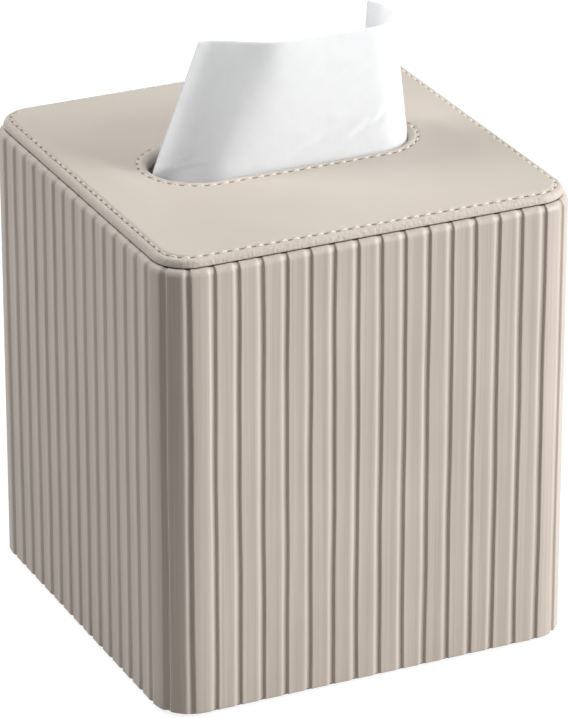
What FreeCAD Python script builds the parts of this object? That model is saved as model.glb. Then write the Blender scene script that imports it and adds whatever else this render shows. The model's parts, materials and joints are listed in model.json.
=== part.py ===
"""Square tissue box cover with ribbed leather walls and a stitched, slotted top.

The cover lifts off a loose base, on which a tissue carton stands. The carton feeds
one tissue through the slot. Lengths are in millimetres. The origin is at the middle
of the footprint on the table, +Z is up and the front is at -Y.
"""
import math
import os

import FreeCAD
import Part
from FreeCAD import Vector

# Ribbed wall of the cover
cover_width = 130.0
wall_top = 139.0
ribs_per_side = 17
rib_depth = 1.0
corner_radius = 12.0
rib_end_round = 3.5
groove_leather = 0.6
wrap_turn_in_thickness = 0.8
wrap_seam_gap = 0.2
board_thickness = 5.0
lining_thickness = 0.8

# Felt under the cover's rim and under the base
felt_thickness = 1.0
rim_felt_margin = 0.6

# Top panel of the cover
lid_inset = 1.5
lid_board_thickness = 1.6
lid_foam_thickness = 0.8
lid_leather_thickness = 0.8
lid_edge_round = 1.3
lid_under_round = 0.5
slot_length = 80.4
slot_width = 28.4
slot_edge_round = 0.5

# Stitching on the top panel
stitch_pitch = 3.7
stitch_length = 2.7
thread_width = 0.8
thread_height = 0.35
edge_stitch_inset = 2.3
slot_stitch_margin = 2.8

# Loose base and the magnets that hold it in the rim
base_clearance = 0.6
base_corner_radius = 2.0
base_board_thickness = 5.0
magnet_diameter = 4.0
magnet_length = 3.0
magnet_spread = 70.0

# Tissue carton and the folded tissues in it
carton_clearance = 2.6
carton_headroom = 6.5
carton_wall = 0.8
carton_edge_round = 1.2
carton_mouth_margin = 3.0
stack_clearance = 2.0
stack_height = 88.0
stack_edge_round = 10.0
cleft_width = 5.0
cleft_clearance = 6.0

# Tissue that stands in the slot, a sheet bent like a letter C that is open to the back
tissue_thickness = 0.5
tissue_slot_clearance = 0.8
tissue_stand = 36.3
tail_depth = 42.0
tail_front = 1.3
tail_round = 1.6
left_turn_degrees = 92.0
right_turn_degrees = 155.0
tissue_top_left_share = 0.55
tissue_top_right_share = 0.93
tissue_top_front_share = 0.56
tissue_top_left_round_share = 1.1
tissue_top_right_round_share = 0.63

# Room between nested pieces, overrun of cuts, and the least length that counts as one
nest_gap = 0.1
overrun = 1.0
tolerance = 0.001

# Sizes that follow from these
half_width = cover_width / 2
corner_centre = half_width - corner_radius
wrap_thickness = rib_depth + groove_leather
boards_width = cover_width - 2 * wrap_thickness
boards_radius = corner_radius - wrap_thickness
boards_top = wall_top - wrap_turn_in_thickness
boards_edge_round = rib_end_round - wrap_thickness
lined_width = boards_width - 2 * board_thickness
cavity_width = lined_width - 2 * lining_thickness
lid_width = cover_width - 2 * lid_inset
lid_radius = corner_radius - lid_inset
lid_board_top = wall_top + lid_board_thickness
lid_foam_top = lid_board_top + lid_foam_thickness
lid_top = lid_foam_top + lid_leather_thickness
base_width = cavity_width - 2 * base_clearance
base_board_top = felt_thickness + base_board_thickness
base_top = base_board_top + lining_thickness
magnet_height = felt_thickness + base_board_thickness / 2
carton_width = cavity_width - 2 * carton_clearance
carton_top = boards_top - carton_headroom
carton_floor = base_top + carton_wall
stack_width = carton_width - 2 * carton_wall - 2 * stack_clearance
stack_top = carton_floor + stack_height
tissue_top = lid_top + tissue_stand
tail_bottom = stack_top - tail_depth

SIDES = ("front", "right", "back", "left")
QUARTER_TURN = 90.0
AXIS_Z = Vector(0, 0, 1)
ORIGIN = Vector(0, 0, 0)


def rounded_outline(length, width, radius, height):
    """Closed outline of a rectangle with round corners, centred on the Z axis.

    Where the radius is half the width, the outline is a slot with round ends.
    """
    run = length / 2 - radius
    rise = width / 2 - radius
    slant = radius * math.sqrt(0.5)
    corner_arcs = []
    for sign_x, sign_y, starts_along_x in ((1, -1, False), (1, 1, True), (-1, 1, False), (-1, -1, True)):
        centre = Vector(sign_x * run, sign_y * rise, height)
        along_x = centre + Vector(sign_x * radius, 0, 0)
        along_y = centre + Vector(0, sign_y * radius, 0)
        middle = centre + Vector(sign_x * slant, sign_y * slant, 0)
        start, end = (along_x, along_y) if starts_along_x else (along_y, along_x)
        corner_arcs.append(Part.Arc(start, middle, end))
    edges = []
    for arc, following in zip(corner_arcs, corner_arcs[1:] + corner_arcs[:1]):
        edges.append(arc.toShape())
        if (following.StartPoint - arc.EndPoint).Length > tolerance:
            edges.append(Part.makeLine(arc.EndPoint, following.StartPoint))
    return Part.Wire(edges)


def plate(length, width, radius, bottom, top):
    """Plate with round corners between two heights."""
    face = Part.Face(rounded_outline(length, width, radius, bottom))
    return face.extrude(Vector(0, 0, top - bottom))


def block(length, width, bottom, top):
    """Plain block centred on the Z axis between two heights."""
    return Part.makeBox(length, width, top - bottom, Vector(-length / 2, -width / 2, bottom))


def slot_prism(margin, bottom, top):
    """The slot's outline, wider all round by a margin, between two heights."""
    length = slot_length + 2 * margin
    width = slot_width + 2 * margin
    return plate(length, width, width / 2, bottom, top)


def edges_at(shape, height):
    """Edges that lie in the plane at a height."""
    boxes = [(edge, edge.BoundBox) for edge in shape.Edges]
    return [edge for edge, box in boxes if max(abs(box.ZMin - height), abs(box.ZMax - height)) < tolerance]


def turned(shape, quarter):
    """Copy of a shape, turned about the Z axis by a number of quarter turns."""
    copy = shape.copy()
    copy.rotate(ORIGIN, AXIS_Z, QUARTER_TURN * quarter)
    return copy


def mitred_sides(ring):
    """The four sides of a ring, parted along its diagonals, with their names."""
    reach = cover_width
    corners = [Vector(0, 0, -overrun), Vector(-reach, -reach, -overrun), Vector(reach, -reach, -overrun)]
    wedge = Part.Face(Part.makePolygon(corners + corners[:1])).extrude(Vector(0, 0, wall_top + 2 * overrun))
    return {side: ring.common(turned(wedge, quarter)) for quarter, side in enumerate(SIDES)}


def export(name, shape):
    """Writes one sub-part and prints its volume, so that a broken shape shows."""
    shape.exportStep("parts/" + name + ".step")
    print(f"{name}: {len(shape.Solids)} solids, {shape.Volume:.0f} cubic mm, valid {shape.isValid()}")


def rib_points(height):
    """Points on the outline of the ribs' crests, half a rib apart, from the right front corner on.

    The first and every other one after it is above a groove.
    """
    crests = rounded_outline(cover_width, cover_width, corner_radius, height)
    return crests.discretize(Number=2 * ribs_per_side * len(SIDES) + 1)[:-1]


def groove_under(crest):
    """Point of a groove, straight in from a point on the outline of the crests."""
    centre_x = max(-corner_centre, min(corner_centre, crest.x))
    centre_y = max(-corner_centre, min(corner_centre, crest.y))
    centre = Vector(centre_x, centre_y, crest.z)
    return centre + (crest - centre) * (1 - rib_depth / corner_radius)


def ribbed_outline(height):
    """Outline of the wall: an arc from groove to groove for each rib, at even steps all round."""
    points = rib_points(height)
    crests = points[1::2]
    grooves = [groove_under(point) for point in points[::2]]
    return Part.Wire([Part.Arc(*ends).toShape() for ends in zip(grooves, crests, grooves[1:] + grooves[:1])])


def boards_block():
    """Block that the wall boards are cut from, with its upper edge rounded."""
    shape = plate(boards_width, boards_width, boards_radius, felt_thickness, boards_top)
    return shape.makeFillet(boards_edge_round, edges_at(shape, boards_top))


def ribbed_leather_wrap():
    """Ribbed sheet round the boards, turned in over their upper edge, with its seam in a back groove."""
    ribs = Part.Face(ribbed_outline(felt_thickness)).extrude(Vector(0, 0, wall_top - felt_thickness))
    envelope = plate(cover_width, cover_width, corner_radius, felt_thickness, wall_top)
    envelope = envelope.makeFillet(rib_end_round, edges_at(envelope, wall_top))
    sheet = ribs.common(envelope).cut(boards_block())
    opening = block(lined_width, lined_width, felt_thickness, wall_top + overrun)
    back_grooves = [point.x for point in rib_points(felt_thickness)[::2] if point.y > half_width - tolerance]
    seam_middle = min(back_grooves, key=abs)
    seam_corner = Vector(seam_middle - wrap_seam_gap / 2, 0, felt_thickness)
    seam = Part.makeBox(wrap_seam_gap, half_width, wall_top, seam_corner)
    return sheet.cut(opening).cut(seam)


def wall_boards():
    """Four boards, mitred at the corners, with blind holes for magnets in the side boards."""
    ring = boards_block().cut(block(lined_width, lined_width, 0, wall_top))
    return mitred_sides(ring.cut(magnet_holes(lined_width / 2, 1)))


def magnet_row(face_x, outward, radius, length):
    """Cylinders that run from the left and right faces at +-face_x, outwards (1) or inwards (-1)."""
    pieces = []
    for side in (-1, 1):
        for place_y in (-magnet_spread / 2, magnet_spread / 2):
            start = Vector(side * face_x, place_y, magnet_height)
            pieces.append(Part.makeCylinder(radius, length, start, Vector(side * outward, 0, 0)))
    return pieces


def magnet_holes(face_x, outward):
    """Blind holes that take the magnets with room all round."""
    depth = magnet_length + nest_gap
    return Part.makeCompound(magnet_row(face_x, outward, magnet_diameter / 2 + nest_gap, depth))


def magnets(face_x, outward):
    """Four magnets, level with the faces that they are let into."""
    return Part.makeCompound(magnet_row(face_x, outward, magnet_diameter / 2, magnet_length))


def wall_linings():
    """Lining panels on the inner faces of the four boards."""
    outer = block(lined_width, lined_width, felt_thickness, boards_top)
    inner = block(cavity_width, cavity_width, felt_thickness, boards_top)
    return mitred_sides(outer.cut(inner))


def rim_felt():
    """Felt strips under the lower edges of the four boards."""
    outer_width = boards_width - 2 * rim_felt_margin
    inner_width = lined_width + 2 * rim_felt_margin
    outer = plate(outer_width, outer_width, boards_radius - rim_felt_margin, 0, felt_thickness)
    ring = outer.cut(block(inner_width, inner_width, 0, felt_thickness))
    return Part.makeCompound(list(mitred_sides(ring).values()))


def lid_layer(bottom, top):
    """Plate inside the turned-over leather of the top panel, cut out round the slot."""
    width = lid_width - 2 * lid_leather_thickness - 2 * nest_gap
    radius = lid_radius - lid_leather_thickness - nest_gap
    around_slot = slot_prism(lid_leather_thickness + nest_gap, bottom, top)
    return plate(width, width, radius, bottom, top).cut(around_slot)


def top_leather():
    """Leather of the top panel, turned down at the edge and into the slot."""
    shell = plate(lid_width, lid_width, lid_radius, wall_top, lid_top)
    shell = shell.makeFillet(lid_edge_round, edges_at(shell, lid_top))
    shell = shell.makeFillet(lid_under_round, edges_at(shell, wall_top))
    pocket_width = lid_width - 2 * lid_leather_thickness
    pocket_radius = lid_radius - lid_leather_thickness
    pocket = plate(pocket_width, pocket_width, pocket_radius, wall_top - overrun, lid_foam_top)
    pocket = pocket.cut(slot_prism(lid_leather_thickness, wall_top - overrun, lid_foam_top))
    shell = shell.cut(pocket).cut(slot_prism(0, wall_top, lid_top))
    slot_rim = slot_prism(overrun, lid_top - tolerance, lid_top + tolerance).BoundBox
    rim_edges = [edge for edge in edges_at(shell, lid_top) if slot_rim.isInside(edge.BoundBox)]
    return shell.makeFillet(slot_edge_round, rim_edges)


def top_lining():
    """Lining under the top panel, inside the walls."""
    width = lined_width - 2 * nest_gap
    return block(width, width, boards_top, wall_top).cut(slot_prism(0, boards_top, wall_top))


def stitch_row(length, width, radius):
    """Stitches laid end to end along an outline on the top panel."""
    outline = rounded_outline(length, width, radius, lid_top)
    count = round(outline.Length / stitch_pitch)
    points = outline.discretize(Number=count + 1)
    stitches = []
    for start, end in zip(points, points[1:]):
        direction = end - start
        corner = Vector(-stitch_length / 2, -thread_width / 2, 0)
        stitch = Part.makeBox(stitch_length, thread_width, thread_height, corner)
        stitch.rotate(ORIGIN, AXIS_Z, math.degrees(math.atan2(direction.y, direction.x)))
        stitch.translate((start + end) / 2)
        stitches.append(stitch)
    return Part.makeCompound(stitches)


def base_layer(bottom, top):
    """Plate of the base, loose inside the rim."""
    return plate(base_width, base_width, base_corner_radius, bottom, top)


def tissue_carton():
    """Thin-walled cube carton with a round-ended mouth in its top."""
    shell = plate(carton_width, carton_width, carton_edge_round, base_top, carton_top)
    inside_width = carton_width - 2 * carton_wall
    hollow = block(inside_width, inside_width, carton_floor, carton_top - carton_wall)
    mouth = slot_prism(carton_mouth_margin, carton_top - 2 * carton_wall, carton_top + overrun)
    return shell.cut(hollow).cut(mouth)


def tissue_stack():
    """Folded tissues: a block with rounded upper edges and a cleft from end to end."""
    shape = block(stack_width, stack_width, carton_floor, stack_top)
    long_edges = [edge for edge in edges_at(shape, stack_top) if edge.BoundBox.XLength > stack_width / 2]
    shape = shape.makeFillet(stack_edge_round, long_edges)
    cleft = block(stack_width + overrun, cleft_width, tail_bottom - cleft_clearance, stack_top + overrun)
    return shape.cut(cleft)


def tissue_section(height, left, right, front, left_round, right_round):
    """Closed outline of the sheet at a height: an arc, a run along the front, and another arc."""
    left_centre = Vector(left_round - left, left_round - front, height)
    right_centre = Vector(right - right_round, right_round - front, height)

    def end_arc(centre, radius, turn):
        """Arc from the front run round one end of the sheet."""
        angles = [math.radians(turn * share - QUARTER_TURN) for share in (0, 0.5, 1)]
        return Part.Arc(*[centre + Vector(math.cos(angle), math.sin(angle), 0) * radius for angle in angles])

    outer_left = end_arc(left_centre, left_round, -left_turn_degrees)
    outer_right = end_arc(right_centre, right_round, right_turn_degrees)
    inner_left = end_arc(left_centre, left_round - tissue_thickness, -left_turn_degrees)
    inner_right = end_arc(right_centre, right_round - tissue_thickness, right_turn_degrees)
    edges = [
        outer_left.toShape(),
        Part.makeLine(outer_left.StartPoint, outer_right.StartPoint),
        outer_right.toShape(),
        Part.makeLine(outer_right.EndPoint, inner_right.EndPoint),
        inner_right.toShape(),
        Part.makeLine(inner_right.StartPoint, inner_left.StartPoint),
        inner_left.toShape(),
        Part.makeLine(inner_left.EndPoint, outer_left.EndPoint),
    ]
    return Part.Wire(edges)


def pulled_tissue():
    """Sheet that is flat in the cleft, follows the slot's front edge and ends, and narrows to its top."""
    reach = slot_length / 2 - tissue_slot_clearance
    depth = slot_width / 2 - tissue_slot_clearance
    tail = (reach, reach, tail_front, tail_round, tail_round)
    in_slot = (reach, reach, depth, depth, depth)
    at_top = (
        reach * tissue_top_left_share,
        reach * tissue_top_right_share,
        depth * tissue_top_front_share,
        depth * tissue_top_left_round_share,
        depth * tissue_top_right_round_share,
    )
    levels = {tail_bottom: tail, stack_top: tail, wall_top: in_slot, lid_top: in_slot, tissue_top: at_top}
    return Part.makeLoft([tissue_section(height, *sizes) for height, sizes in levels.items()], True, True)


os.makedirs("parts", exist_ok=True)
export("ribbed_leather_wrap", ribbed_leather_wrap())
for side, board in wall_boards().items():
    export(side + "_board", board)
for side, panel in wall_linings().items():
    export(side + "_lining", panel)
export("wall_magnets", magnets(lined_width / 2, 1))
export("rim_felt", rim_felt())
export("top_board", lid_layer(wall_top, lid_board_top))
export("top_foam", lid_layer(lid_board_top, lid_foam_top))
export("top_leather", top_leather())
export("top_lining", top_lining())
edge_row_width = lid_width - 2 * edge_stitch_inset
export("edge_stitching", stitch_row(edge_row_width, edge_row_width, lid_radius - edge_stitch_inset))
slot_row_length = slot_length + 2 * slot_stitch_margin
slot_row_width = slot_width + 2 * slot_stitch_margin
export("slot_stitching", stitch_row(slot_row_length, slot_row_width, slot_row_width / 2))
export("base_felt", base_layer(0, felt_thickness))
export("base_board", base_layer(felt_thickness, base_board_top).cut(magnet_holes(base_width / 2, -1)))
export("base_lining", base_layer(base_board_top, base_top))
export("base_magnets", magnets(base_width / 2, -1))
export("tissue_carton", tissue_carton())
export("tissue_stack", tissue_stack())
export("pulled_tissue", pulled_tissue())
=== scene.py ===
"""Looks of a square tissue box cover with ribbed leather walls and a stitched, slotted top.

Lengths are in metres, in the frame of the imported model: +Z is up, the front is at -Y and the slot
runs along X. The sections follow the object as it is put together, from the base to the tissue.
"""
import json
import math

import bmesh
import bpy
import numpy as np
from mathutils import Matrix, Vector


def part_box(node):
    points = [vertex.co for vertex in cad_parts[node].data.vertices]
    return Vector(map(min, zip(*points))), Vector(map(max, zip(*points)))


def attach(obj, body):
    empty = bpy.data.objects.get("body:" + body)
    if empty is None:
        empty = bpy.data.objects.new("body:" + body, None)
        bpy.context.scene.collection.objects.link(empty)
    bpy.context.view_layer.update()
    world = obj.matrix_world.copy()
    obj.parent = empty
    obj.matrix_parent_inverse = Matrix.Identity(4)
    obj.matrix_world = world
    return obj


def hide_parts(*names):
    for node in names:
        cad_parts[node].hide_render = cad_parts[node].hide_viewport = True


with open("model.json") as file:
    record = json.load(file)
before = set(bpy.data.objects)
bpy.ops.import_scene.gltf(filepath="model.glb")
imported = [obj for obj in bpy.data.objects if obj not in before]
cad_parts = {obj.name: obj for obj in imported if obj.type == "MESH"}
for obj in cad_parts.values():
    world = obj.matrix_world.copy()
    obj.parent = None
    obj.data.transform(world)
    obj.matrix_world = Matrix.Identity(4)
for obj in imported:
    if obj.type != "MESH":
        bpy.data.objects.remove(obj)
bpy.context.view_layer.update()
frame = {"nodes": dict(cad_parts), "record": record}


# Base felt
# A square of pressed charcoal felt, 1 mm thick, glued under the base board so that it slides on
# a table without a scratch. It is cut with a knife, so its edge is square and a little furry.
MM = 0.001


class Shade:
    """Value of a shader socket: operators on it add Math nodes, and node() adds any other node."""

    def __init__(self, tree, socket):
        self.tree = tree
        self.socket = socket

    def node(self, kind, sockets, output=0, **settings):
        """Adds a node with its settings, then its values and links, and returns one of its outputs."""
        made = self.tree.nodes.new("ShaderNode" + kind)
        for name, value in settings.items():
            setattr(made, name, value)
        for name, value in sockets.items():
            if isinstance(value, Shade):
                self.tree.links.new(value.socket, made.inputs[name])
            else:
                made.inputs[name].default_value = value
        return Shade(self.tree, made.outputs[output])

    def math(self, operation, first, second=0.0):
        """Value of an operation on one or two values."""
        return self.node("Math", {0: first, 1: second}, operation=operation)

    def __add__(self, other):
        return self.math("ADD", self, other)

    def __sub__(self, other):
        return self.math("SUBTRACT", self, other)

    def __rsub__(self, other):
        return self.math("SUBTRACT", other, self)

    def __mul__(self, other):
        return self.math("MULTIPLY", self, other)

    __radd__ = __add__
    __rmul__ = __mul__

    def step(self, low, high):
        """Smooth step from 0 at low to 1 at high."""
        sockets = {"Value": self, "From Min": low, "From Max": high}
        return self.node("MapRange", sockets, interpolation_type="SMOOTHSTEP")

    def blend(self, first, second):
        """Colour that goes from the first to the second as this value goes from 0 to 1."""
        return self.node("Mix", {0: self, 6: first, 7: second}, output=2, data_type="RGBA")

    def stretched(self, scale):
        """These coordinates, multiplied by a scale along each axis."""
        return self.node("Mapping", {"Vector": self, "Scale": scale})

    def noise(self, scale, detail=2.0, roughness=0.5):
        """Cloudy value from 0 to 1, with a number of clouds to the metre."""
        sockets = {"Vector": self, "Scale": scale, "Detail": detail, "Roughness": roughness}
        return self.node("TexNoise", sockets)

    def bump(self, strength, distance):
        """Normal of a surface that this value raises, at most by the distance."""
        return self.node("Bump", {"Height": self, "Strength": strength, "Distance": distance})


def finish(name, place="Object", **constants):
    """Material with one Principled shader, its coordinates, and a function that links a value to it.

    The constants are set on the shader's own sockets, with _ for a space in their names.
    """
    material = bpy.data.materials.new(name)
    material.use_nodes = True
    tree = material.node_tree
    shader = tree.nodes["Principled BSDF"]
    for socket, value in constants.items():
        shader.inputs[socket.replace("_", " ").title().replace("Ior", "IOR")].default_value = value
    coordinates = Shade(tree, tree.nodes.new("ShaderNodeTexCoord").outputs[place])

    def feed(socket, value):
        tree.links.new(value.socket, shader.inputs[socket])

    return material, coordinates, feed


def srgb(red, green, blue):
    """Linear colour, with an alpha of 1, of a colour given as three shares of 255 on a screen."""
    shares = np.array((red, green, blue)) / 255
    linear = np.where(shares <= 0.04045, shares / 12.92, ((shares + 0.055) / 1.055) ** 2.4)
    return (*linear.tolist(), 1.0)


def outline(share, length, width, radius):
    """Points and outward normals at shares of the way round a rectangle with round corners.

    The way starts where the front side meets the right front corner and runs anticlockwise: a
    quarter circle and then a straight side, four times.
    """
    arc = radius * math.pi / 2
    sides = np.array((width, length, width, length)) - 2 * radius
    ends = np.cumsum(arc + sides)
    way = np.mod(share, 1.0) * ends[-1]
    quarter = np.searchsorted(ends, way, side="right").clip(0, 3)
    local = way - (ends - arc - sides)[quarter]
    start = (quarter - 1) * math.pi / 2
    angle = start + np.minimum(local / arc, 1.0) * math.pi / 2
    normal = np.stack((np.cos(angle), np.sin(angle)), axis=-1)
    along = np.stack((-np.sin(start + math.pi / 2), np.cos(start + math.pi / 2)), axis=-1)
    corner = np.array(((1, -1), (1, 1), (-1, 1), (-1, -1)))[quarter]
    centre = corner * np.array((length / 2 - radius, width / 2 - radius))
    return centre + radius * normal + np.maximum(local - arc, 0.0)[..., None] * along, normal


def spread(columns, length, width, radius):
    """Shares of the way round an outline that put as many points in each corner, and along each side.

    Every quarter has a sixth of its points on the corner's arc, at even steps, and the rest on its side.
    """
    arc = radius * math.pi / 2
    sides = np.array((width, length, width, length)) - 2 * radius
    ends = np.cumsum(arc + sides)
    in_arc = columns // 24
    in_side = columns // 4 - in_arc
    corner = np.broadcast_to(arc * np.arange(in_arc) / in_arc, (4, in_arc))
    side = arc + sides[:, None] * np.arange(in_side) / in_side
    local = np.concatenate((corner, side), axis=1) + (ends - arc - sides)[:, None]
    return local.ravel() / ends[-1]


merge_distance = 0.002 * MM


def add_surface(name, points, closed_rows=False, closed_columns=True, uv_maps=None, attributes=None):
    """Object whose mesh joins the points of a grid (rows, columns, 3) into four-sided faces.

    A closed direction joins its last line to its first, and a UV map has one more line there.
    Points that coincide are merged, as at a pole, and the faces of a closed mesh point outwards.
    """
    rows, columns = points.shape[:2]
    row_steps = rows if closed_rows else rows - 1
    column_steps = columns if closed_columns else columns - 1
    row, column = (index.ravel() for index in np.mgrid[:row_steps, :column_steps])
    corners = [(row, column), (row, column + 1), (row + 1, column + 1), (row + 1, column)]
    faces = np.stack([(r % rows) * columns + c % columns for r, c in corners], axis=1)
    mesh = bpy.data.meshes.new(name)
    mesh.vertices.add(rows * columns)
    mesh.vertices.foreach_set("co", points.astype(np.float32).ravel())
    mesh.loops.add(faces.size)
    mesh.loops.foreach_set("vertex_index", faces.astype(np.int32).ravel())
    mesh.polygons.add(len(faces))
    mesh.polygons.foreach_set("loop_start", np.arange(0, faces.size, 4, dtype=np.int32))
    mesh.update(calc_edges=True)
    for map_name, values in (uv_maps or {}).items():
        at_corners = np.stack([values[r, c] for r, c in corners], axis=1)
        mesh.uv_layers.new(name=map_name).data.foreach_set("uv", at_corners.astype(np.float32).ravel())
    for attribute_name, values in (attributes or {}).items():
        layer = mesh.attributes.new(attribute_name, "FLOAT", "POINT")
        layer.data.foreach_set("value", values.astype(np.float32).ravel())
    shape = bmesh.new()
    shape.from_mesh(mesh)
    bmesh.ops.remove_doubles(shape, verts=shape.verts, dist=merge_distance)
    bmesh.ops.recalc_face_normals(shape, faces=shape.faces)
    shape.to_mesh(mesh)
    shape.free()
    mesh.shade_smooth()
    made = bpy.data.objects.new(name, mesh)
    bpy.context.scene.collection.objects.link(made)
    return made


sharp_radius = 0.0002 * MM


def plate(length, width, radius, thickness, edge, taper=0.0, columns=192):
    """Grid of a plate's points: rings from the middle of its back, round its edge, to that of its face.

    Each ring is the outline drawn in by an inset. The edge is a half round of the given radius on
    each side, and the taper is how much smaller the face is than the back on every side.
    """
    half = min(length, width) / 2
    turn = np.radians(np.linspace(0, 90, 5))
    rounding = edge * (1 - np.sin(turn))
    rise = edge * (1 - np.cos(turn))
    flat = half * np.array((0.999, 0.7, 0.4, 0.1))
    inset = np.concatenate((flat, [edge * 1.4], rounding, rounding[::-1], [edge * 1.4], flat[::-1]))
    low = np.concatenate((np.zeros(5), rise))
    height = np.concatenate((low, (thickness - low)[::-1]))
    rings = []
    for ring_inset, level in zip(inset, height):
        drawn = 2 * (ring_inset + taper * level / thickness)
        drawn_in = (length - drawn, width - drawn, max(radius - drawn / 2, sharp_radius))
        ring, _ = outline(spread(columns, *drawn_in), *drawn_in)
        rings.append(np.column_stack((ring, np.full(columns, level))))
    return np.array(rings)


def dress(piece, node, material):
    """Gives a piece its material, and puts it in the place of a node, on the node's body."""
    piece.data.materials.clear()
    piece.data.materials.append(material)
    bodies = frame["record"]["behaviour"]["bodies"]
    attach(piece, next(body for body, members in bodies.items() if node in members))
    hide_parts(node)


def felt_finish():
    """Charcoal wool felt: short matted fibres that catch a little light."""
    material, place, feed = finish("charcoal_felt", roughness=0.95, sheen_weight=0.25)
    lengthways = place.stretched((1500, 420, 900)).noise(1.0, 4.0)
    crossways = place.stretched((420, 1500, 900)).noise(1.0, 4.0)
    fibres = lengthways * 0.3 + crossways * 0.3 + place.noise(900, 4.0, 0.65) * 0.4
    feed("Base Color", fibres.step(0.32, 0.7).blend(srgb(50, 48, 46), srgb(84, 80, 76)))
    feed("Normal", fibres.bump(0.5, 0.2 * MM))
    return material


charcoal_felt = felt_finish()
base_corner_radius = 2 * MM
felt_edge = 0.25 * MM
low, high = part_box("base_felt")
felt_points = plate(high.x - low.x, high.y - low.y, base_corner_radius, high.z - low.z, felt_edge)
base_felt = add_surface("base_felt_pad", felt_points)
dress(base_felt, "base_felt", charcoal_felt)


# Fibreboard
# The base, the four walls and the top panel are sawn from medium-density fibreboard: pressed wood
# dust, brown and matt, with a denser skin and short dark fibres. It is glued at mitred corners.
def fibreboard_finish():
    """Pressed wood dust: fine light and dark specks over cloudy brown."""
    material, place, feed = finish("fibreboard", roughness=0.85)
    specks = place.noise(1400, 3.0, 0.7)
    clouds = place.noise(60, 3.0)
    fibres = place.stretched((300, 1500, 1500)).noise(1.0, 2.0)
    tone = specks * 0.5 + clouds * 0.3 + fibres * 0.2
    feed("Base Color", tone.step(0.3, 0.7).blend(srgb(116, 86, 58), srgb(184, 148, 108)))
    feed("Normal", specks.bump(0.35, 0.1 * MM))
    return material


fibreboard = fibreboard_finish()
for board in ("base_board", "front_board", "right_board", "back_board", "left_board", "top_board"):
    board_mesh = frame["nodes"][board].data
    board_mesh.materials.clear()
    board_mesh.materials.append(fibreboard)


# Linings
# Suede-like non-woven cloth in warm grey, glued to the top of the base and the inner faces of the
# walls. The wall panels meet in mitres at the corners.
def lining_finish():
    """Brushed suede: a short nap in soft patches, a little lighter where it is brushed up."""
    material, place, feed = finish("suede_lining", roughness=0.92, sheen_weight=0.3)
    nap = place.noise(1100, 3.0, 0.65)
    patches = place.noise(45, 2.0)
    tone = nap * 0.45 + patches * 0.55
    feed("Base Color", tone.step(0.3, 0.72).blend(srgb(116, 107, 98), srgb(158, 148, 137)))
    feed("Normal", nap.bump(0.5, 0.12 * MM))
    return material


suede_lining = lining_finish()
lining_edge = 0.2 * MM
low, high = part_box("base_lining")
lining_points = plate(high.x - low.x, high.y - low.y, base_corner_radius, high.z - low.z, lining_edge)
base_lining = add_surface("base_lining_cloth", lining_points + np.array((0, 0, low.z)))
dress(base_lining, "base_lining", suede_lining)

low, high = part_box("front_lining")
cloth = high.y - low.y
panel = plate(high.x - low.x, high.z - low.z, lining_edge, cloth, lining_edge, taper=cloth)
standing = np.stack((panel[..., 0], panel[..., 2] + low.y, panel[..., 1] + (low.z + high.z) / 2), axis=-1)
for quarter, side in enumerate(("front", "right", "back", "left")):
    cosine, sine = ((1, 0), (0, 1), (-1, 0), (0, -1))[quarter]
    turned = standing @ np.array(((cosine, sine, 0), (-sine, cosine, 0), (0, 0, 1)))
    wall_lining = add_surface(f"{side}_lining_cloth", turned)
    dress(wall_lining, f"{side}_lining", suede_lining)


# Magnets
# Four nickel-plated cylinders in the edge of the base face four in the walls and hold the base in
# the rim. They are pressed into blind holes, level with the wood.
def nickel_finish():
    """Bright nickel plate with fine scuffs."""
    material, place, feed = finish("nickel_plate", metallic=1.0)
    scuffs = place.noise(900, 4.0, 0.7)
    feed("Base Color", scuffs.step(0.35, 0.7).blend(srgb(176, 174, 168), srgb(206, 204, 198)))
    feed("Roughness", scuffs * 0.25 + 0.15)
    return material


nickel_plate = nickel_finish()
for magnets in ("base_magnets", "wall_magnets"):
    magnet_mesh = frame["nodes"][magnets].data
    magnet_mesh.materials.clear()
    magnet_mesh.materials.append(nickel_plate)


# Tissue carton
# A plain cube carton of coated board, folded from one blank and glued. The round-ended mouth in its
# top is torn open along a line of nicks, which leave its edge a little ragged.
def carton_finish():
    """Clay-coated board: off-white and smooth outside, grey and fibrous inside."""
    material, place, feed = finish("carton_board", roughness=0.55)
    inside = place.node("Attribute", {}, output="Fac", attribute_name="inside")
    fibres = place.stretched((500, 500, 1600)).noise(1.0, 3.0)
    mottle = place.noise(160, 4.0, 0.6)
    coated = (mottle * 0.6 + fibres * 0.4).step(0.3, 0.7).blend(srgb(230, 228, 222), srgb(235, 233, 228))
    raw = fibres.step(0.3, 0.7).blend(srgb(168, 160, 148), srgb(196, 188, 176))
    feed("Base Color", inside.blend(coated, raw))
    feed("Normal", fibres.bump(0.2, 0.05 * MM))
    return material


carton_wall = 0.8 * MM
carton_radius = 1.2 * MM
inner_radius = 0.1 * MM
fold_inset, fold_drop = 0.35 * MM, 0.45 * MM
edge_drop = 0.1 * MM
floor_inset = carton_wall + 1 * MM
pole = 0.001
mouth_length, mouth_width = 86.4 * MM, 34.4 * MM
nick_count, nick_depth = 96, 0.25 * MM
low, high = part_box("tissue_carton")
carton_width = high.x - low.x
share = np.arange(480) / 480
mouth, mouth_normal = outline(share, mouth_length, mouth_width, mouth_width / 2)
nicks = nick_depth * np.abs(np.sin(share * math.pi * nick_count))[:, None]
mouth = mouth + mouth_normal * nicks
ring = {}
for inset in (0.0, fold_inset, carton_wall, floor_inset, carton_radius):
    drawn_in = (carton_width - 2 * inset, carton_width - 2 * inset, max(carton_radius - inset, inner_radius))
    ring[inset] = outline(spread(len(share), *drawn_in), *drawn_in)[0]
middle_z = (low.z + high.z) / 2
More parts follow.
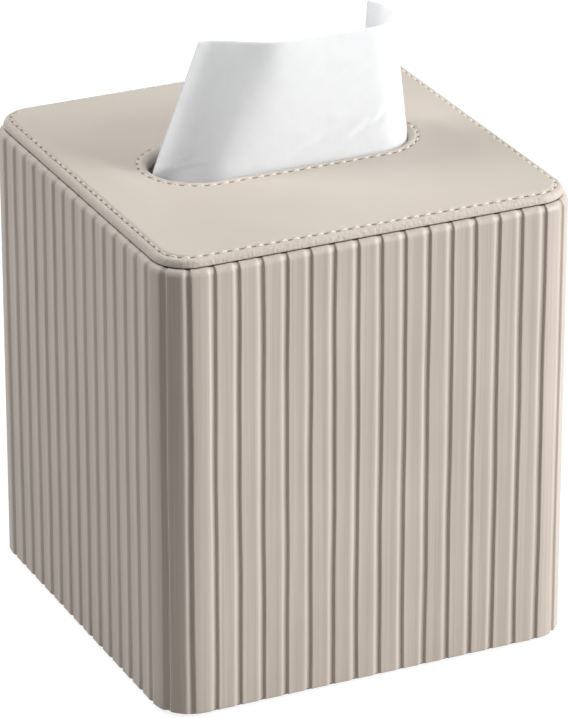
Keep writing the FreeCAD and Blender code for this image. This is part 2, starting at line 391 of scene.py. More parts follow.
levels = [
    (mouth, high.z - carton_wall, 1),
    (mouth, high.z - carton_wall * 0.1, 0),
    (mouth + mouth_normal * edge_drop, high.z, 0),
    (mouth * 0.5 + ring[carton_radius] * 0.5, high.z, 0),
    (ring[carton_radius], high.z, 0),
    (ring[fold_inset], high.z - edge_drop, 0),
    (ring[0.0], high.z - fold_drop, 0),
    (ring[0.0], high.z - carton_radius, 0),
    (ring[0.0], middle_z, 0),
    (ring[0.0], low.z + carton_radius, 0),
    (ring[0.0], low.z + fold_drop, 0),
    (ring[fold_inset], low.z + edge_drop, 0),
    (ring[carton_radius], low.z, 0),
    (ring[carton_radius] * pole, low.z, 0),
    (ring[carton_radius] * pole, low.z + carton_wall, 1),
    (ring[floor_inset], low.z + carton_wall, 1),
    (ring[carton_wall], low.z + carton_wall, 1),
    (ring[carton_wall], middle_z, 1),
    (ring[carton_wall], high.z - carton_wall, 1),
    (ring[floor_inset], high.z - carton_wall, 1),
]
carton_points = np.array([np.column_stack((plan, np.full(len(share), level))) for plan, level, _ in levels])
carton_inside = np.array([np.full(len(share), mark) for _, _, mark in levels])
tissue_carton = add_surface("folded_carton", carton_points, closed_rows=True,
                            attributes={"inside": carton_inside})
dress(tissue_carton, "tissue_carton", carton_finish())


# Tissue stack
# Folded tissues, bent over into an arch so that they fit a cube carton. Their edges show as fine
# layers, and the next sheet is pulled up out of the cleft in the middle.
def stack_finish():
    """White tissue paper in layers, with painted shade in grey between the sheets."""
    material, place, feed = finish("tissue_layers", roughness=1.0)
    layers = place.stretched((3, 3, 900)).noise(1.0, 2.0)
    crepe = place.noise(900, 3.0)
    # The grey between the sheets is painted shade, darkest where the layers' bump is lowest
    feed("Base Color", layers.step(0.3, 0.6).blend(srgb(196, 197, 201), srgb(244, 244, 246)))
    feed("Normal", (layers * 0.7 + crepe * 0.3).bump(0.6, 0.3 * MM))
    return material


low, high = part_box("tissue_stack")
stack_half = (high.y - low.y) / 2
cleft_half = 2.5 * MM
cleft_floor = low.z + 40 * MM
crown_radius = 10 * MM
lip_radius = 4 * MM
cleft_round = 2 * MM
end_round, end_share = 0.3 * MM, 0.995
middle_z = (low.z + high.z) / 2
turn = np.radians(np.linspace(0, 90, 9))
outer_y = stack_half - crown_radius * (1 - np.cos(turn))
outer_z = high.z - crown_radius * (1 - np.sin(turn))
lip_y = cleft_half + lip_radius * (1 - np.sin(turn[::-1]))[::-1]
lip_z = high.z - lip_radius * (1 - np.cos(turn))
hump_y = np.concatenate(([stack_half, stack_half], outer_y, lip_y[::-1], [cleft_half, cleft_half]))
hump_z = np.concatenate(([low.z, middle_z], outer_z, lip_z, [cleft_floor + cleft_round, cleft_floor]))
stack_y = np.concatenate((hump_y, -hump_y[::-1]))
stack_z = np.concatenate((hump_z, hump_z[::-1]))
stations = np.concatenate(([low.x, low.x], np.linspace(low.x + end_round, high.x - end_round, 40),
                           [high.x, high.x]))
swell = np.ones((len(stations), 1))
swell[[0, -1]] = pole
swell[[1, -2]] = end_share
stack_points = np.stack((
    np.broadcast_to(stations[:, None], (len(stations), len(stack_y))),
    stack_y * swell,
    middle_z + (stack_z - middle_z) * swell,
), axis=-1)
tissue_stack = add_surface("folded_tissues", stack_points)
dress(tissue_stack, "tissue_stack", stack_finish())


# Rim felt
# Four strips of the same felt under the lower edges of the walls, mitred at the corners, so that
# the cover stands on felt all round.
low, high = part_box("rim_felt")
rim_outer = high.x - low.x
rim_inner = 118.0 * MM
rim_radius = 9.8 * MM
rim_inner_radius = 1 * MM
rim_edge = 0.2 * MM
share = np.arange(360) / 360
turn = np.radians(np.linspace(0, 90, 4))
near, far = 1 - np.sin(turn), 1 - np.cos(turn)
rim_inset = np.concatenate((near, near[::-1])) * rim_edge
rim_level = np.concatenate((far, (high.z / rim_edge - far)[::-1])) * rim_edge
rim_rings = [np.column_stack((outline(share, rim_outer - 2 * inset, rim_outer - 2 * inset, rim_radius)[0],
                              np.full(len(share), level))) for inset, level in zip(rim_inset, rim_level)]
for inset, level in zip(rim_inset[::-1], rim_level[::-1]):
    hollowed = (rim_inner + 2 * inset, rim_inner + 2 * inset, rim_inner_radius + inset)
    rim_rings.append(np.column_stack((outline(spread(len(share), *hollowed), *hollowed)[0],
                                      np.full(len(share), level))))
rim_felt = add_surface("rim_felt_strips", np.array(rim_rings), closed_rows=True)
dress(rim_felt, "rim_felt", charcoal_felt)


# Ribbed leather wrap
# One sheet of greige leather-look vinyl, pressed into upright ribs at even steps round the sides and
# corners. It is glued round the boards, turned in over their upper edge under the top panel, and
# butts against itself in a groove near the middle of the back.
def wrap_finish():
    """Satin vinyl: greige with fine upright streaks, and painted shade in the grooves and under the top
    panel.
    """
    material, place, feed = finish("ribbed_leather", specular_ior_level=0.4)
    clouds = place.noise(28, 3.0)
    streaks = place.stretched((1100, 1100, 9)).noise(1.0, 2.0, 0.6)
    lines = place.stretched((2600, 2600, 14)).noise(1.0, 2.0, 0.6)
    grain = place.stretched((1900, 1900, 500)).noise(1.0, 3.0, 0.6)
    shadow = place.node("Attribute", {}, output="Fac", attribute_name="shadow")
    tone = clouds * 0.2 + streaks * 0.4 + lines * 0.4
    clean = tone.step(0.32, 0.68).blend(srgb(189, 178, 168), srgb(208, 197, 188))
    # The shadow attribute paints shade into the colour: dark brown under the top panel's edge and in the
    # grooves
    feed("Base Color", shadow.blend(clean, srgb(58, 48, 40)))
    feed("Roughness", clouds * 0.1 + grain * 0.1 + 0.34)
    feed("Normal", (streaks * 0.3 + lines * 0.4 + grain * 0.3).bump(0.35, 0.05 * MM))
    return material


rib_total = 68
corner_radius = 12 * MM
rib_end_round = 2.6 * MM
lower_edge_round = 0.4 * MM
turn_in = 0.8 * MM
inner_face = 1.62 * MM
seam_groove = 27
seam_half = 0.1 * MM
panel_overhang = 1.5 * MM
shadow_edge = 0.3 * MM
groove_shade = 0.12
wobble, long_wave, short_wave = 0.1 * MM, 90 * MM, 40 * MM
low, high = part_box("ribbed_leather_wrap")
cover_width = high.x - low.x
perimeter = 4 * (cover_width - 2 * corner_radius) + 2 * math.pi * corner_radius
rib_pitch = perimeter / rib_total
wall_top = high.z
boards_top = wall_top - turn_in
lined_inset = cover_width / 2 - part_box("front_lining")[1].x

# Face of a rib, from groove to groove, anticlockwise: steep flank, sharp edge, slight hollow, round
# shoulder, slope. Its slopes at shares of the pitch add up to its heights, closed by an even tilt.
slope_shares = np.array((0.0, 0.015, 0.02, 0.06, 0.095, 0.13, 0.62, 0.74, 0.80, 0.86, 0.92, 1.0))
slopes = np.array((0.0, 0.0, 1.5, 1.4, 0.11, -0.05, 0.09, -0.12, -0.7, -0.66, -0.1, 0.0))
rib_share = np.concatenate((np.linspace(0.0, 0.15, 12), np.linspace(0.15, 0.59, 8)[1:],
                            np.linspace(0.59, 1.0, 16)[1:]))
fine_steps = 2000
fine_share = np.linspace(0, 1, fine_steps + 1)
fine_slope = np.interp(fine_share, slope_shares, slopes)
mean_slope = (fine_slope[1:] + fine_slope[:-1]) / 2
fine_height = np.concatenate(([0.0], np.cumsum(mean_slope))) * rib_pitch / fine_steps
fine_height -= fine_height[-1] * fine_share
rib_height = np.interp(rib_share, fine_share, fine_height)
groove_depth = rib_height.max()

# Section of the sheet: inset, height, outward and upward part of its normal, and share of the relief,
# which fades round the ribs' upper ends. Behind, the sheet comes down again inside the boards.
relief_fade, last_relief = 0.45, 0.3
foot_margin, head_margin = 1 * MM, 2 * MM
flat_run, inner_bevel = 1 * MM, 2 * MM
section = [(lower_edge_round * (1 - math.sin(a)), low.z + lower_edge_round * (1 - math.cos(a)), 1, 0, 1)
           for a in np.radians(np.linspace(0, 90, 4))]
section += [(0, z, 1, 0, 1)
            for z in np.linspace(low.z + foot_margin, wall_top - rib_end_round - head_margin, 18)]
section += [(rib_end_round * (1 - math.cos(a)), wall_top - rib_end_round * (1 - math.sin(a)),
             math.cos(a), math.sin(a), 1 - relief_fade * a) for a in np.radians(np.linspace(0, 90, 15))]
section += [(rib_end_round + flat_run, wall_top, 0, 1, last_relief), (lined_inset, wall_top, 0, 1, 0)]
section += [(lined_inset, boards_top, 0, 1, 0), (inner_face + inner_bevel, boards_top, 0, 1, 0)]
section += [(inner_face, boards_top - inner_bevel, 0, 1, 0), (inner_face, low.z, 0, 1, 0)]
inset, level, out_part, up_part, relief_share = (np.array(values)[:, None] for values in zip(*section))

# Way round the crests, from the seam in a groove at the back, with grooves that waver a little
chance = np.random.default_rng(5)
phases = chance.uniform(0, 2 * math.pi, (2, rib_total + 1))
waver = wobble * (np.sin(level * 2 * math.pi / long_wave + phases[0])
                  + 0.5 * np.sin(level * 2 * math.pi / short_wave + phases[1]))
waver[:, [0, -1]] = 0.0
grooves = rib_pitch * np.arange(rib_total + 1)[None, :] + waver
way = grooves[:, :-1, None] + rib_share[:-1] * np.diff(grooves, axis=1)[..., None]
way = np.concatenate((way.reshape(len(level), -1), grooves[:, -1:]), axis=1)
way[:, 0], way[:, -1] = seam_half, perimeter - seam_half
relief = groove_depth - np.append(np.tile(rib_height[:-1], rib_total), rib_height[-1])[None, :]
crest, outward = outline((way + seam_groove * rib_pitch) / perimeter, cover_width, cover_width, corner_radius)
plan = crest - outward * (inset + out_part * relief_share * relief)[..., None]
height = level - up_part * relief_share * relief
wrap_points = np.concatenate((plan, height[..., None]), axis=-1)

# Painted shade: a dark band under the panel's edge, and a little in the deepest quarter of each groove
under_panel = np.clip((inset - panel_overhang) / shadow_edge, 0, 1) * (level > boards_top - rib_end_round)
in_groove = groove_shade * np.clip(4 * relief / groove_depth - 3, 0, 1) * (relief_share > 0.5)
ribbed_wrap = add_surface("ribbed_wrap", wrap_points, closed_rows=True, closed_columns=False,
                          attributes={"shadow": np.maximum(under_panel, in_groove)})
dress(ribbed_wrap, "ribbed_leather_wrap", wrap_finish())


# Top foam
# A thin sheet of closed-cell foam between the top board and its leather, cut out round the slot.
# It gives the panel its slight cushion.
def pressed_rim(bottom, top, run):
    """Insets and heights of a rim that rises from the bottom to the top over a run, by a smooth step."""
    share = np.linspace(0, 1, 9)
    return list(zip(run * share, bottom + (top - bottom) * share ** 2 * (3 - 2 * share)))


def ring_plate(outer, inner, bottom, top, edge, pressed=0.0, columns=360):
    """Closed grid of a plate with a hole: up the outer edge, in over the face, down the hole and back.

    Outer and inner are the length, width and corner radius of the two outlines. Where the rim is
    pressed thin, its height rises from the outer edge by a smooth step over that distance.
    """
    share = np.arange(columns) / columns
    turn = np.radians(np.linspace(0, 90, 4))
    rounding, rise = edge * (1 - np.sin(turn)), edge * (1 - np.cos(turn))
    inset = np.concatenate(([2 * edge], rounding, rounding[::-1], [2 * edge]))
    height = np.concatenate(([bottom], bottom + rise, (top - rise)[::-1], [top]))
    rows = list(zip(inset, height))
    outer_rows = rows
    if pressed:
        outer_rows = [*zip(rounding, bottom + rise), *pressed_rim(bottom + edge, top, pressed)]
    rings = []
    for sign, (length, width, radius), order in ((1, outer, outer_rows), (-1, inner, rows[::-1])):
        for ring_inset, ring_level in order:
            drawn = sign * ring_inset
            drawn_in = (length - 2 * drawn, width - 2 * drawn, max(radius - drawn, sharp_radius))
            plan, _ = outline(spread(columns, *drawn_in) if sign > 0 else share, *drawn_in)
            rings.append(np.column_stack((plan, np.full(columns, ring_level))))
    return np.array(rings)


def foam_finish():
    """Closed-cell foam: off-white, with fine pores."""
    material, place, feed = finish("closed_cell_foam", roughness=0.8)
    pores = place.node("TexVoronoi", {"Vector": place, "Scale": 1600})
    feed("Base Color", pores.step(0.1, 0.6).blend(srgb(206, 203, 194), srgb(232, 230, 222)))
    feed("Normal", pores.bump(0.5, 0.1 * MM))
    return material


slot_length, slot_width = 80.4 * MM, 28.4 * MM
leather_thickness = 0.9 * MM
foam_radius = 9.6 * MM
foam_edge = 0.03 * MM
rim_press = 5 * MM
low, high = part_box("top_foam")
foam_width = high.x - low.x
foam_bottom, foam_top = low.z, high.z
slot_around = (slot_length + 2 * leather_thickness, slot_width + 2 * leather_thickness,
               slot_width / 2 + leather_thickness)
foam_points = ring_plate((foam_width, foam_width, foam_radius), slot_around,
                         foam_bottom, foam_top, foam_edge, rim_press)
top_foam = add_surface("top_foam_pad", foam_points, closed_rows=True)
dress(top_foam, "top_foam", foam_finish())


# Top lining
# A square of the walls' suede under the top board, inside the walls and cut out round the slot. It is
# glued on all over.
top_lining_radius = 0.3 * MM
low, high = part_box("top_lining")
panel_width = high.x - low.x
top_lining_points = ring_plate((panel_width, panel_width, top_lining_radius),
                               (slot_length, slot_width, slot_width / 2), low.z, high.z, lining_edge)
top_lining = add_surface("top_lining_cloth", top_lining_points, closed_rows=True)
dress(top_lining, "top_lining", suede_lining)


# Top leather
# The same vinyl over the top panel: turned down round its edge and rolled into the slot, with a
# shallow channel where each row of stitches pulls it down onto the foam.
stitch_pitch = 3.7 * MM
edge_stitch_inset = 2.3 * MM
slot_stitch_margin = 2.8 * MM
sunk_face = 0.25 * MM
channel_depth = 0.22 * MM
channel_width = 0.5 * MM
slit_depth = 0.12 * MM
slit_phase = 0.8
pucker_height = 0.03 * MM
pucker_reach = 1.6 * MM
cushion_height = 0.2 * MM
under_round = 0.4 * MM
shell_thickness = 0.85 * MM
low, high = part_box("top_leather")
lid_width = high.x - low.x
lid_top, lid_bottom = high.z, low.z
lid_radius = 10.5 * MM
edge_row = (lid_width - 2 * edge_stitch_inset, lid_width - 2 * edge_stitch_inset,
            lid_radius - edge_stitch_inset)
slot_row = (slot_length + 2 * slot_stitch_margin, slot_width + 2 * slot_stitch_margin,
            slot_width / 2 + slot_stitch_margin)


def stitch_count(length, width, radius):
    """Number of stitches in a row round a rectangle with round corners."""
    return round((2 * (length + width) - (8 - 2 * math.pi) * radius) / stitch_pitch)


def stitched_height(phase, offset):
    """How a row of stitches moves the leather: a channel, deeper at each slit, and puckers beside it.

    The phase counts stitches along the row, and the offset is the distance from it.
    """
    at_slit = np.cos(2 * math.pi * (phase - slit_phase))
    channel = np.exp(-(offset / channel_width) ** 2)
    pucker = np.exp(-(offset / pucker_reach) ** 2)
    return -channel * (channel_depth + slit_depth * np.maximum(at_slit, 0)) - pucker_height * at_slit * pucker


def rolled(run, drop, first, last, steps):
    """Points of a roll that turns evenly between two slopes in degrees, scaled to a run and a drop."""
    angle = np.radians(np.linspace(first, last, steps))
    across = (np.sin(angle) - np.sin(angle[0])) / (np.sin(angle[-1]) - np.sin(angle[0]))
    down = (np.cos(angle[0]) - np.cos(angle)) / (np.cos(angle[0]) - np.cos(angle[-1]))
    return list(zip(run * across, drop * down))


columns = 1130
share = np.arange(columns) / columns
slot_path, slot_out = outline(share, *slot_row)
edge_path, edge_out = outline(share, *edge_row)
face = lid_top - sunk_face

# Rows beside the slot's stitches, as offsets and heights: up the slot's wall, over its roll, onto the face
crown_offset = 0.75 * MM
roll_height, roll_turn = 1.7 * MM, 84
wall_foot = 0.8 * MM
beside_row = np.array((-0.6, -0.4, -0.2, 0.0, 0.2, 0.4, 0.6, 0.9)) * MM
slot_roll = [(-crown_offset - across, lid_top - down)
             for across, down in rolled(slot_stitch_margin - crown_offset, roll_height, 0, roll_turn, 8)]
slot_rows = [(-slot_stitch_margin, lid_bottom), (-slot_stitch_margin, lid_bottom + wall_foot)]
slot_rows += slot_roll[::-1]
slot_rows += [(offset, face + sunk_face * min(max(-offset / crown_offset, 0), 1)) for offset in beside_row]
slot_rows += [(offset * MM, face) for offset in (1.3, 1.8, 2.5, 3.5, 5.0)]

# Rows beside the edge's stitches: the face, a step down at the stitches, a flat rim, the roll round the
# edge, and back under it to the foam. The slopes, in degrees, add up to the drops.
roll_offset = np.array((-1.3, -1.0, -0.85, -0.7, -0.55, -0.4, -0.25, -0.1, 0.05, 0.2, 0.4, 0.7, 1.0, 1.3,
                        1.55, 1.75, 1.92, 2.05, 2.15, 2.22, 2.27, 2.3)) * MM
slope_offset = np.array((-1.3, -0.9, -0.65, -0.3, -0.05, 0.3, 1.0, 1.5, 2.0, 2.3))
slope_degrees = np.array((0, 4, 28, 32, 10, 6, 10, 30, 62, 80))
roll_slope = np.tan(np.radians(np.interp(roll_offset / MM, slope_offset, slope_degrees)))
roll_drop = np.concatenate(([0.0], np.cumsum((roll_slope[1:] + roll_slope[:-1]) / 2 * np.diff(roll_offset))))
roll_drop *= (face - lid_bottom - under_round) / roll_drop[-1]
edge_level = face - np.interp(0.0, roll_offset, roll_drop)
edge_rows = [(offset * MM, face) for offset in (-6.0, -4.5, -3.2, -2.4, -1.8)]
edge_rows += list(zip(roll_offset, face - roll_drop))
edge_rows += [(edge_stitch_inset - under_round * (1 - math.cos(a)),
               lid_bottom + under_round * (1 - math.sin(a))) for a in np.radians(np.linspace(0, 90, 5)[1:])]
outer_count = len(edge_rows)
shell_offset = edge_stitch_inset - shell_thickness
edge_rows += [(shell_offset, lid_bottom)]
edge_rows += [(shell_offset - inset, level)
              for inset, level in pressed_rim(foam_bottom + foam_edge, foam_top, rim_press)]


def zone(path, normals, rows, outer, count):
    """Grid of the leather beside a row of stitches, which moves its outer rows, and its rows' offsets."""
    offset, level = (np.array(values)[:, None] for values in zip(*rows))
    plan = path[None] + normals[None] * offset[..., None]
    on_face = (np.arange(len(rows)) < outer)[:, None]
    height = level + on_face * stitched_height(share[None] * count, offset)
    return np.concatenate((plan, height[..., None]), axis=-1), offset


slot_zone, slot_offset = zone(slot_path, slot_out, slot_rows, len(slot_rows), stitch_count(*slot_row))
edge_zone, edge_offset = zone(edge_path, edge_out, edge_rows, outer_count, stitch_count(*edge_row))
between = np.linspace(0, 1, 12)[1:-1]
middle_zone = slot_zone[-1] + between[:, None, None] * (edge_zone[0] - slot_zone[-1])
lining_offset = shell_thickness - slot_stitch_margin
slot_inside = np.stack([np.column_stack((slot_path + slot_out * lining_offset, np.full(columns, z)))
                        for z in (foam_top, lid_bottom)])
lid_points = np.concatenate((slot_zone, middle_zone, edge_zone, slot_inside))

# Cushion: it swells from nothing beside each row of stitches to its full height half-way between them
swell_start = np.array((0.02, 0.08, 0.2, 0.42))
swell_rows = np.concatenate((
    np.zeros(len(slot_zone) - len(swell_start)), swell_start,
    swell_start[-1] + (1 - swell_start[-1]) * np.sin(math.pi * between), swell_start[::-1],
    np.zeros(len(edge_zone) - len(swell_start) + len(slot_inside))))
lid_points[..., 2] += cushion_height * swell_rows[:, None]
far_away = 50.0


def row_map(count, offsets, first):
    """UV map of the whole leather: stitches along a row, and the distance from it in millimetres."""
    far = np.where(np.arange(len(lid_points) + 1) < first, -far_away, far_away)
    far[first:first + len(offsets)] = offsets[:, 0] / MM
    along = np.append(share, 1.0) * count
    return np.stack(np.broadcast_arrays(along[None, :], far[:, None]), axis=-1)


first_edge_row = len(slot_zone) + len(middle_zone)
row_maps = {
    "edge_row": row_map(stitch_count(*edge_row), edge_offset[:outer_count], first_edge_row),
    "slot_row": row_map(stitch_count(*slot_row), slot_offset, 0),
}
top_cover = add_surface("top_panel_leather", lid_points, closed_rows=True, uv_maps=row_maps)


def top_leather_finish():
    """The wrap's vinyl with a rounder grain, coarse on the drawn rim, and painted shade in each stitch's
    slit.
    """
    material, place, feed = finish("top_leather", specular_ior_level=0.4)
    clouds = place.noise(24, 3.0)
    cells = {"Vector": place, "Scale": 1500, "Smoothness": 0.6}
    pebbles = place.node("TexVoronoi", cells, feature="SMOOTH_F1")
    wrinkles = place.noise(500, 4.0, 0.6)
    slit_half = 0.13
    slit_shade = []
    for row in ("edge_row", "slot_row"):
        position = place.node("UVMap", {}, uv_map=row)
        along = place.node("SeparateXYZ", {"Vector": position}, output="X")
        offset = place.node("SeparateXYZ", {"Vector": position}, output="Y")
        from_slit = place.math("ABSOLUTE", place.math("FRACT", along) - slit_phase) - slit_half
        beyond = place.math("MAXIMUM", from_slit, 0.0) * (stitch_pitch / MM)
        slit_shade.append(1 - (beyond * beyond + offset * offset).step(0.02, 0.14))
        if row == "edge_row":
            rim = offset.step(0.2, 0.6)
    clean = clouds.step(0.35, 0.65).blend(srgb(199, 189, 178), srgb(203, 193, 183))
    # Each slit is painted dark brown: painted shade where the thread dives into the leather
    feed("Base Color", place.math("MAXIMUM", *slit_shade).blend(clean, srgb(128, 117, 105)))
    feed("Roughness", clouds * 0.1 + wrinkles * 0.1 + 0.4)
    drawn_grain = rim * place.noise(850, 2.0, 0.6) * 14
    feed("Normal", (pebbles * 0.5 + wrinkles * 0.5 + drawn_grain).bump(0.45, 0.06 * MM))
    return material


dress(top_cover, "top_leather", top_leather_finish())


# Stitching
# Ecru polyester thread in a lockstitch, one row round the top panel and one round the slot. Each
# stitch comes up through the leather, lies on it a little across the row, and dives into a slit.
def thread_finish():
    """Two-ply twisted thread: slanting strands, with painted shade between them and a painted highlight on
    their crests.
    """
    material, place, feed = finish("ecru_thread", place="UV", roughness=0.6, sheen_weight=0.2)
    along = place.node("SeparateXYZ", {"Vector": place}, output="X")
    around = place.node("SeparateXYZ", {"Vector": place}, output="Y")
    strand = place.math("SINE", (along * 5 + around * 2) * (2 * math.pi)) * 0.5 + 0.5
    # The colour follows the strands' bump: painted shade in the hollows and a painted highlight on the crests
    feed("Base Color", strand.blend(srgb(216, 206, 192), srgb(244, 237, 226)))
    feed("Normal", strand.bump(0.6, 0.08 * MM))
    return material


thread_radius = 0.29 * MM
thread_dive = 1.0 * MM
thread_peak = -0.04 * MM
thread_sides = 8
stitch_middle = 0.33
stitch_half = 0.36
stitch_slant = 0.12 * MM
hump_power = 0.7


def thread(name, row, surface):
    """Row of stitches on a surface at a height: a tube that comes up through the leather once a stitch.

    The height of the thread follows a flat-topped hump over each stitch, and its way wanders to
    one side and back by the slant, so that each stitch lies a little across the row.
    """
    count = stitch_count(*row)
    phase = np.array((0.0, 0.05, 0.1, 0.17, 0.25, 0.35, 0.45, 0.53, 0.6, 0.66, 0.8))
    along = (np.arange(count)[:, None] + phase).ravel()
    within = np.clip((np.mod(along, 1.0) - stitch_middle) / stitch_half, -1, 1)
    hump = np.cos(within * math.pi / 2) ** hump_power
    middle, normal = outline(along / count, *row)
    middle = middle - normal * (stitch_slant * np.sin(within * math.pi / 2))[:, None]
    height = surface + thread_peak + thread_dive * (hump - 1)
    around = np.arange(thread_sides) * 2 * math.pi / thread_sides
    plan = middle[:, None] + normal[:, None] * (thread_radius * np.cos(around))[None, :, None]
    tube = height[:, None] + thread_radius * np.sin(around)[None, :]
    strands = np.stack(np.broadcast_arrays(np.append(along, count)[:, None],
                                           np.linspace(0, 1, thread_sides + 1)[None, :]), axis=-1)
    return add_surface(name, np.concatenate((plan, tube[..., None]), axis=-1), closed_rows=True,
                       uv_maps={"strand": strands})


ecru_thread = thread_finish()
dress(thread("edge_thread", edge_row, edge_level), "edge_stitching", ecru_thread)
dress(thread("slot_thread", slot_row, face), "slot_stitching", ecru_thread)


# Pulled tissue
# A soft white sheet that stands in the slot. It comes up flat from the cleft, where its end is folded
# back, follows the slot's front edge and ends, and narrows to its top, where it bends back in an S at
# its left and curls back at its right.
def tissue_finish():
    """Tissue paper: matt white that lets some light through, with a fine crepe and a few fibres."""
    material, place, feed = finish("tissue_paper", roughness=1.0, specular_ior_level=0.1)
    crepe = place.stretched((700, 700, 1800)).noise(1.0, 3.0, 0.6)
    fibres = place.noise(250, 4.0, 0.65)
    feed("Base Color", fibres.step(0.3, 0.7).blend(srgb(241, 242, 243), srgb(246, 247, 248)))
    feed("Normal", (crepe * 0.5 + fibres * 0.5).bump(0.1, 0.1 * MM))
    through = place.node("BsdfTranslucent", {"Color": srgb(246, 247, 248)})
    shader = Shade(material.node_tree, material.node_tree.nodes["Principled BSDF"].outputs[0])
    sheet = place.node("MixShader", {0: 0.5, 1: shader, 2: through})
    material.node_tree.links.new(sheet.socket, material.node_tree.nodes["Material Output"].inputs["Surface"])
    return material


def even(points, count, rounds):
    """Points at even steps along a line through the given ones, with its bends eased in some rounds."""
    way = np.concatenate(([0.0], np.cumsum(np.linalg.norm(np.diff(points, axis=0), axis=1))))
    steps = np.linspace(0, way[-1], count)
    line = np.stack([np.interp(steps, way, values) for values in points.T], axis=-1)
    for _ in range(rounds):
        line[1:-1] = (line[:-2] + 2 * line[1:-1] + line[2:]) / 4
    return line


tissue_clearance = 0.8 * MM
sheet_thickness = 0.16 * MM
sheet_breadth = 109 * MM
fold_back, fold_round, least_step = 30 * MM, 1 * MM, 1 * MM
cleft_sink, slot_sink, flare_height = 4 * MM, 2 * MM, 1.5 * MM
corner_drop, drop_start, drop_run = 1.0 * MM, 0.28, 0.24
low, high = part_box("pulled_tissue")
tissue_top, tail_bottom = high.z, low.z
stack_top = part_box("tissue_stack")[1].z
reach = slot_length / 2 - tissue_clearance
hollow = slot_width / 2 - tissue_clearance

# Lines that the sheet follows, seen from above: folded end, cleft, slot, just above the slot, and top
folded_half, folded_y = 0.95 * reach, 1.2 * MM
cleft_reach, cleft_y = 0.97 * reach, -1.0 * MM
folded_end = np.array(((-folded_half, folded_y), (folded_half, folded_y)))
in_cleft = np.array(((-cleft_reach, cleft_y), (cleft_reach, cleft_y)))
left_round = 16.8 * MM
end_lean = 0.4 * MM
left_turn = np.radians(np.linspace(-86, 0, 30))
right_turn = np.radians(np.linspace(0, 155, 40))
right_part = np.stack((reach + end_lean - hollow * (1 - np.sin(right_turn)),
                       -hollow * np.cos(right_turn)), axis=-1)
left_part = np.stack((left_round * (1 + np.sin(left_turn)) - reach - end_lean,
                      left_round * (1 - np.cos(left_turn)) - hollow), axis=-1)
in_slot = np.concatenate((left_part, right_part))
flared_part = np.array((
    (-40.3, -2.2), (-37.4, -2.6), (-34.8, -3.6), (-32.5, -5.2), (-30.4, -7.5), (-28.2, -9.9), (-25.8, -11.8),
    (-22.8, -13.0), (-18.0, -13.4), (-8.0, -13.4))) * MM
above_slot = np.concatenate((flared_part, right_part))
at_top = np.array((
    (-23.4, 3.6), (-21.2, 3.2), (-19.0, 2.3), (-16.9, 0.9), (-14.9, -0.9), (-12.9, -2.9), (-10.9, -4.8),
    (-8.9, -6.5), (-6.7, -7.9), (-4.3, -8.8), (-1.7, -9.2), (4.0, -9.4), (14.0, -9.3), (27.0, -9.4),
    (32.4, -7.9), (35.2, -4.6), (36.2, 1.0), (36.0, 7.0), (34.0, 11.6))) * MM

# Their heights and rounds of easing, from the end that is folded back to the top
across_count, along_count = 200, 240
lines = [
    (tail_bottom + fold_back, folded_end, 0),
    (tail_bottom + fold_round, folded_end, 0),
    (tail_bottom, (folded_end + in_cleft) / 2, 0),
    (tail_bottom + fold_round, in_cleft, 0),
    (stack_top - cleft_sink, in_cleft, 0),
    (wall_top - slot_sink, in_slot, 4),
    (lid_top + flare_height, above_slot, 16),
    (tissue_top, at_top, 16),
]
stations = np.array([height for height, _, _ in lines])
station_way = np.concatenate(([0.0], np.cumsum(np.abs(np.diff(stations)) + least_step)))
sheet_way = np.linspace(0, station_way[-1], along_count)
sheet_lines = np.array([even(points, across_count, rounds) for _, points, rounds in lines])
first = np.clip(np.searchsorted(station_way, sheet_way, side="right") - 1, 0, len(lines) - 2)
fraction = ((sheet_way - station_way[first]) / np.diff(station_way)[first])[:, None]
height = stations[first][:, None] * (1 - fraction) + stations[first + 1][:, None] * fraction
plan = sheet_lines[first] * (1 - fraction[..., None]) + sheet_lines[first + 1] * fraction[..., None]
across = np.linspace(0, 1, across_count)[None, :]
raised = np.clip((height - lid_top) / (tissue_top - lid_top), 0, 1)
dropped = np.clip((drop_start - across) / drop_run, 0, 1)
height = height - corner_drop * raised * dropped ** 2 * (3 - 2 * dropped)
tissue_points = np.concatenate((plan, height[..., None]), axis=-1)


def crease(share, level, slant, length, width, depth):
    """Soft ridge on the sheet with a valley under it, about a share of its breadth and a height.

    Its height falls off as a bell along its length, and across it follows the bell's own slope.
    """
    aside, above = (across - share) * sheet_breadth, height - level
    along = aside * math.cos(slant) + above * math.sin(slant)
    beside = (above * math.cos(slant) - aside * math.sin(slant)) / width
    return depth * beside * np.exp(0.5 - beside ** 2 / 2 - (along / length) ** 2)


# Share of the breadth, height in mm, slant in radians, and length, width and depth in mm
ruffle = sum(crease(at, level * MM, slant, length * MM, width * MM, depth * MM)
             for at, level, slant, length, width, depth in (
                 (0.06, 145.2, 0.45, 4, 0.5, 0.16),
                 (0.11, 144.6, 0.3, 4, 0.5, 0.14),
                 (0.66, 152.5, 0.7, 4, 1.0, 0.24),
                 (0.6, 150.0, 0.5, 6, 1.2, 0.24),
                 (0.42, 147.0, 0.35, 7, 1.4, 0.2),
                 (0.5, 153.0, -0.2, 10, 2.0, 0.16)))
side = np.gradient(plan, axis=1)
facing = np.stack((side[..., 1], -side[..., 0]), axis=-1) / np.linalg.norm(side, axis=-1, keepdims=True)
tissue_points[..., :2] += facing * ruffle[..., None]
pulled_tissue = add_surface("standing_tissue", tissue_points, closed_columns=False)
paper = pulled_tissue.modifiers.new("paper", "SOLIDIFY")
paper.thickness = sheet_thickness
paper.offset = 0
dress(pulled_tissue, "pulled_tissue", tissue_finish())


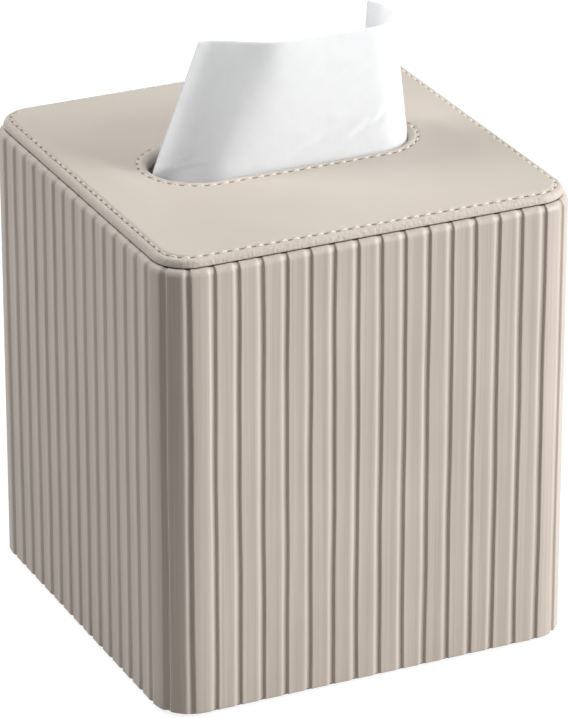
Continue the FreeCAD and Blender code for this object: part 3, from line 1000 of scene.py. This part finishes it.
# Floor, light and camera
# A plain white floor that shows the object's own soft shadow, a large lamp on the right, a weaker
# one behind on the left, one overhead, and a long lens at the photograph's angle.
def seen(tree):
    """Value that is 1 for what the camera sees, straight or in a mirror or glass, and 0 for other light."""
    ray = tree.nodes.new("ShaderNodeLightPath")
    kinds = [Shade(tree, ray.outputs[f"Is {kind} Ray"]) for kind in ("Camera", "Glossy", "Transmission")]
    return (kinds[0] + kinds[1] + kinds[2]).step(0.0, 1.0)


floor_half = 6.0
floor_bounce = (0.53, 0.51, 0.48, 1)
floor_shade, floor_glow = (0.25, 0.25, 0.25, 1), (0.86, 0.86, 0.86, 1)
no_glow = (0, 0, 0, 1)
floor_mesh = bpy.data.meshes.new("floor")
floor_mesh.from_pydata([(-floor_half, -floor_half, 0), (floor_half, -floor_half, 0),
                        (floor_half, floor_half, 0), (-floor_half, floor_half, 0)], [], [(0, 1, 2, 3)])
floor = bpy.data.objects.new("floor", floor_mesh)
bpy.context.scene.collection.objects.link(floor)
floor_material, _, feed_floor = finish("white_floor", roughness=1.0, specular_ior_level=0.0,
                                       emission_strength=1.0)
floor_seen = seen(floor_material.node_tree)
feed_floor("Base Color", floor_seen.blend(floor_bounce, floor_shade))
feed_floor("Emission Color", floor_seen.blend(no_glow, floor_glow))
floor_mesh.materials.append(floor_material)

dim, white = (0.02, 0.02, 0.02, 1), (1, 1, 1, 1)
world = bpy.data.worlds.new("studio")
bpy.context.scene.world = world
world.use_nodes = True
background = world.node_tree.nodes["Background"]
sky = seen(world.node_tree).blend(dim, white)
world.node_tree.links.new(sky.socket, background.inputs["Color"])

lamp_aim = np.array((0, 0, 0.08))


def lamp(name, azimuth, elevation, distance, width, height, watts):
    """Soft area lamp that faces the middle of the cover from an azimuth and an elevation in degrees."""
    light = bpy.data.lights.new(name, "AREA")
    light.shape = "RECTANGLE"
    light.size, light.size_y = width, height
    light.energy = watts
    made = bpy.data.objects.new(name, light)
    turn, rise = math.radians(azimuth), math.radians(elevation)
    toward = np.array((math.sin(turn) * math.cos(rise), -math.cos(turn) * math.cos(rise), math.sin(rise)))
    made.location = toward * distance + lamp_aim
    made.rotation_euler = (math.radians(90 - elevation), 0, turn)
    bpy.context.scene.collection.objects.link(made)


lamp("right_lamp", 53, 20, 1.6, 0.9, 0.9, 31.5)
lamp("left_lamp", -127, 42, 1.6, 0.6, 0.9, 12.8)
lamp("top_lamp", 180, 89, 1.4, 0.9, 0.9, 7.4)

camera_azimuth = math.radians(-25.184)
camera_elevation = math.radians(24.414)
camera_distance = 1.40831
camera_target = np.array((0.00157, -0.00068, 0.07511))
camera_data = bpy.data.cameras.new("camera")
camera_data.sensor_width = 36
camera_data.lens = 239.47
camera = bpy.data.objects.new("camera", camera_data)
toward = np.array((math.sin(camera_azimuth) * math.cos(camera_elevation),
                   -math.cos(camera_azimuth) * math.cos(camera_elevation), math.sin(camera_elevation)))
camera.location = camera_target + toward * camera_distance
camera.rotation_euler = (math.radians(90) - camera_elevation, 0, camera_azimuth)
bpy.context.scene.collection.objects.link(camera)
bpy.context.scene.camera = camera
bpy.context.scene.view_settings.view_transform = "Standard"
